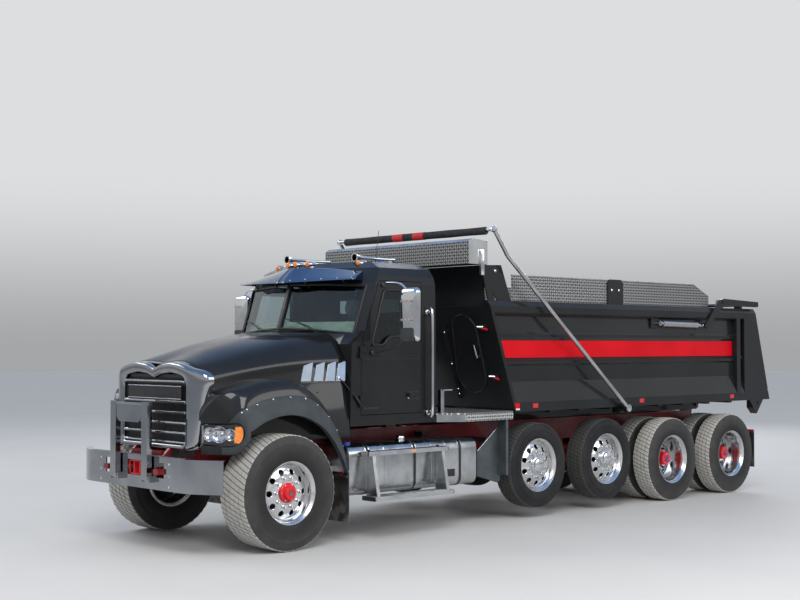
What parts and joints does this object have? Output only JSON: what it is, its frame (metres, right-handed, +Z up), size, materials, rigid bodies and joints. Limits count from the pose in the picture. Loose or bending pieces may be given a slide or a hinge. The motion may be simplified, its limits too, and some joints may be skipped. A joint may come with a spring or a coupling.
{
  "type": "dump truck",
  "caption": "Long-nose dump truck with a tilting hood, hinged doors, steered and rolling wheels, a tipping steel body, swinging tarp arms and a high-lift tailgate.",
  "frame": {"origin": "centre of the bounding box in plan, on the ground", "axes": "+X forward along the truck, +Y to the driver's left, +Z up"},
  "size_m": [9.5111, 3.12, 3.282],
  "materials": {
    "chassis_red": "gloss",
    "engine_grey": "matt",
    "chrome": "mirror polish",
    "mirror_chrome": "mirror polish",
    "polished_aluminium": "polished",
    "tread_aluminium": "diamond tread",
    "black_rubber": "matt",
    "charcoal_paint": "metallic gloss",
    "amber_lens": "translucent gloss",
    "clear_glass": "clear",
    "interior_plastic": "matt",
    "lamp_plastic": "clear lens over bright bowl",
    "flare_plastic": "grained",
    "steel": "ground",
    "hoist_black": "satin",
    "tyre": "rubber"
  },
  "bodies": {
    "chassis": {"frame": "chassis_red", "engine": "engine_grey", "bumper": "chrome", "front_axle": "chassis_red", "lift_axles": "chassis_red", "tandem_axles": "chassis_red", "fuel_tank": "polished_aluminium", "exhaust_box": "polished_aluminium", "steps_and_deck": "tread_aluminium", "splash_guards": "black_rubber", "cab_shell": "charcoal_paint", "visor": "chrome", "roof_lamps": "amber_lens", "cab_glass": "clear_glass", "cab_interior": "interior_plastic"},
    "hood": {"hood": "charcoal_paint", "grille": "chrome", "headlamps": "lamp_plastic", "flares": "flare_plastic"},
    "guard": {"grille_guard": "chrome"},
    "door_left": {"door_left": "charcoal_paint", "door_glass_left": "clear_glass", "mirror_left": "mirror_chrome"},
    "door_right": {"door_right": "charcoal_paint", "door_glass_right": "clear_glass", "mirror_right": "mirror_chrome"},
    "knuckle_left": {"knuckle_left": "chassis_red"},
    "knuckle_right": {"knuckle_right": "chassis_red"},
    "dump_body": {"dump_body": "charcoal_paint", "side_boards": "tread_aluminium", "tarp_housing": "tread_aluminium"},
    "tarp_arms": {"tarp_arms": "polished_aluminium"},
    "gate_levers": {"gate_levers": "charcoal_paint"},
    "tailgate": {"tailgate": "charcoal_paint"},
    "gate_barrels": {"gate_cylinder_barrels": "steel"},
    "gate_rods": {"gate_cylinder_rods": "steel"},
    "hoist_barrel": {"hoist_barrel": "hoist_black"},
    "hoist_stage_1": {"hoist_stage_1": "steel"},
    "hoist_stage_2": {"hoist_stage_2": "steel"},
    "hoist_stage_3": {"hoist_stage_3": "steel"},
    "wheel_front_left": {"tyre_front_left": "tyre", "rim_front_left": "polished_aluminium"},
    "wheel_front_right": {"tyre_front_right": "tyre", "rim_front_right": "polished_aluminium"},
    "wheel_lift_1_left": {"tyre_lift_1_left": "tyre", "rim_lift_1_left": "polished_aluminium"},
    "wheel_lift_1_right": {"tyre_lift_1_right": "tyre", "rim_lift_1_right": "polished_aluminium"},
    "wheel_lift_2_left": {"tyre_lift_2_left": "tyre", "rim_lift_2_left": "polished_aluminium"},
    "wheel_lift_2_right": {"tyre_lift_2_right": "tyre", "rim_lift_2_right": "polished_aluminium"},
    "wheel_tandem_1_left": {"tyre_tandem_1_left": "tyre", "rim_tandem_1_left": "polished_aluminium"},
    "wheel_tandem_1_right": {"tyre_tandem_1_right": "tyre", "rim_tandem_1_right": "polished_aluminium"},
    "wheel_tandem_2_left": {"tyre_tandem_2_left": "tyre", "rim_tandem_2_left": "polished_aluminium"},
    "wheel_tandem_2_right": {"tyre_tandem_2_right": "tyre", "rim_tandem_2_right": "polished_aluminium"}
  },
  "joints": [
    {"name": "hood_tilt", "type": "hinge", "parent": "chassis", "child": "hood", "pos_m": [4.5575, 0, 0.86], "axis": [0, 1, 0], "range_deg": [0, 60]},
    {"name": "guard_fold", "type": "hinge", "parent": "chassis", "child": "guard", "pos_m": [4.7095, 0, 0.7], "axis": [0, 1, 0], "range_deg": [0, 81.5]},
    {"name": "door_left_swing", "type": "hinge", "parent": "chassis", "child": "door_left", "pos_m": [2.6855, 1.068, 1.9], "axis": [0, 0, -1], "range_deg": [0, 68]},
    {"name": "door_right_swing", "type": "hinge", "parent": "chassis", "child": "door_right", "pos_m": [2.6855, -1.068, 1.9], "axis": [0, 0, 1], "range_deg": [0, 68]},
    {"name": "steer_left", "type": "hinge", "parent": "chassis", "child": "knuckle_left", "pos_m": [3.6975, 0.85, 0.56], "axis": [0, 0, 1], "range_deg": [-30, 30]},
    {"name": "steer_right", "type": "hinge", "parent": "chassis", "child": "knuckle_right", "pos_m": [3.6975, -0.85, 0.56], "axis": [0, 0, 1], "range_deg": [-30, 30]},
    {"name": "bed_lift", "type": "hinge", "parent": "chassis", "child": "dump_body", "pos_m": [-4.1525, 0, 1.15], "axis": [0, -1, 0], "range_deg": [0, 45]},
    {"name": "tarp_swing", "type": "hinge", "parent": "dump_body", "child": "tarp_arms", "pos_m": [-1.4425, 0, 1.21], "axis": [0, -1, 0], "range_deg": [0, 90]},
    {"name": "gate_lift", "type": "hinge", "parent": "dump_body", "child": "gate_levers", "pos_m": [-3.5925, 0, 2.544], "axis": [0, 1, 0], "range_deg": [0, 55]},
    {"name": "tailgate_swing", "type": "hinge", "parent": "gate_levers", "child": "tailgate", "pos_m": [-4.4125, 0, 2.53], "axis": [0, 1, 0], "range_deg": [0, 60]},
    {"name": "gate_barrel_swing", "type": "hinge", "parent": "dump_body", "child": "gate_barrels", "pos_m": [-2.2325, 0, 2.248], "axis": [0, -1, 0], "range_deg": [0, 12]},
    {"name": "gate_rod_slide", "type": "slide", "parent": "gate_barrels", "child": "gate_rods", "axis": [-0.9999, 0, -0.0165], "range_m": [0, 0.6]},
    {"name": "hoist_barrel_swing", "type": "hinge", "parent": "chassis", "child": "hoist_barrel", "pos_m": [0.1475, 0, 0.885], "axis": [0, -1, 0], "range_deg": [0, 35]},
    {"name": "hoist_slide_1", "type": "slide", "parent": "hoist_barrel", "child": "hoist_stage_1", "axis": [-0.0536, 0, 0.9986], "range_m": [0, 1.079]},
    {"name": "hoist_slide_2", "type": "slide", "parent": "hoist_stage_1", "child": "hoist_stage_2", "axis": [-0.0536, 0, 0.9986], "range_m": [0, 1.079]},
    {"name": "hoist_slide_3", "type": "slide", "parent": "hoist_stage_2", "child": "hoist_stage_3", "axis": [-0.0536, 0, 0.9986], "range_m": [0, 1.079]},
    {"name": "front_left_spin", "type": "hinge", "parent": "knuckle_left", "child": "wheel_front_left", "pos_m": [3.6975, 0, 0.56], "axis": [0, 1, 0], "continuous": true},
    {"name": "front_right_spin", "type": "hinge", "parent": "knuckle_right", "child": "wheel_front_right", "pos_m": [3.6975, 0, 0.56], "axis": [0, 1, 0], "continuous": true},
    {"name": "lift_1_left_spin", "type": "hinge", "parent": "chassis", "child": "wheel_lift_1_left", "pos_m": [0.0635, 0, 0.603], "axis": [0, 1, 0], "continuous": true},
    {"name": "lift_1_right_spin", "type": "hinge", "parent": "chassis", "child": "wheel_lift_1_right", "pos_m": [0.0635, 0, 0.603], "axis": [0, 1, 0], "continuous": true},
    {"name": "lift_2_left_spin", "type": "hinge", "parent": "chassis", "child": "wheel_lift_2_left", "pos_m": [-1.1885, 0, 0.603], "axis": [0, 1, 0], "continuous": true},
    {"name": "lift_2_right_spin", "type": "hinge", "parent": "chassis", "child": "wheel_lift_2_right", "pos_m": [-1.1885, 0, 0.603], "axis": [0, 1, 0], "continuous": true},
    {"name": "tandem_1_left_spin", "type": "hinge", "parent": "chassis", "child": "wheel_tandem_1_left", "pos_m": [-2.4895, 0, 0.525], "axis": [0, 1, 0], "continuous": true},
    {"name": "tandem_1_right_spin", "type": "hinge", "parent": "chassis", "child": "wheel_tandem_1_right", "pos_m": [-2.4895, 0, 0.525], "axis": [0, 1, 0], "continuous": true},
    {"name": "tandem_2_left_spin", "type": "hinge", "parent": "chassis", "child": "wheel_tandem_2_left", "pos_m": [-3.8215, 0, 0.525], "axis": [0, 1, 0], "continuous": true},
    {"name": "tandem_2_right_spin", "type": "hinge", "parent": "chassis", "child": "wheel_tandem_2_right", "pos_m": [-3.8215, 0, 0.525], "axis": [0, 1, 0], "continuous": true}
  ],
  "couplings": [
    {"joint": "guard_fold", "follows": "hood_tilt", "ratio": 1.35},
    {"joint": "steer_right", "follows": "steer_left", "ratio": 1},
    {"joint": "hoist_barrel_swing", "follows": "bed_lift", "ratio": 0.53445},
    {"joint": "hoist_slide_1", "follows": "bed_lift", "m_per_rad": 1.3486},
    {"joint": "hoist_slide_2", "follows": "bed_lift", "m_per_rad": 1.3486},
    {"joint": "hoist_slide_3", "follows": "bed_lift", "m_per_rad": 1.3486},
    {"joint": "gate_barrel_swing", "follows": "gate_lift", "ratio": 0.13327},
    {"joint": "gate_rod_slide", "follows": "gate_lift", "m_per_rad": 0.45461}
  ]
}
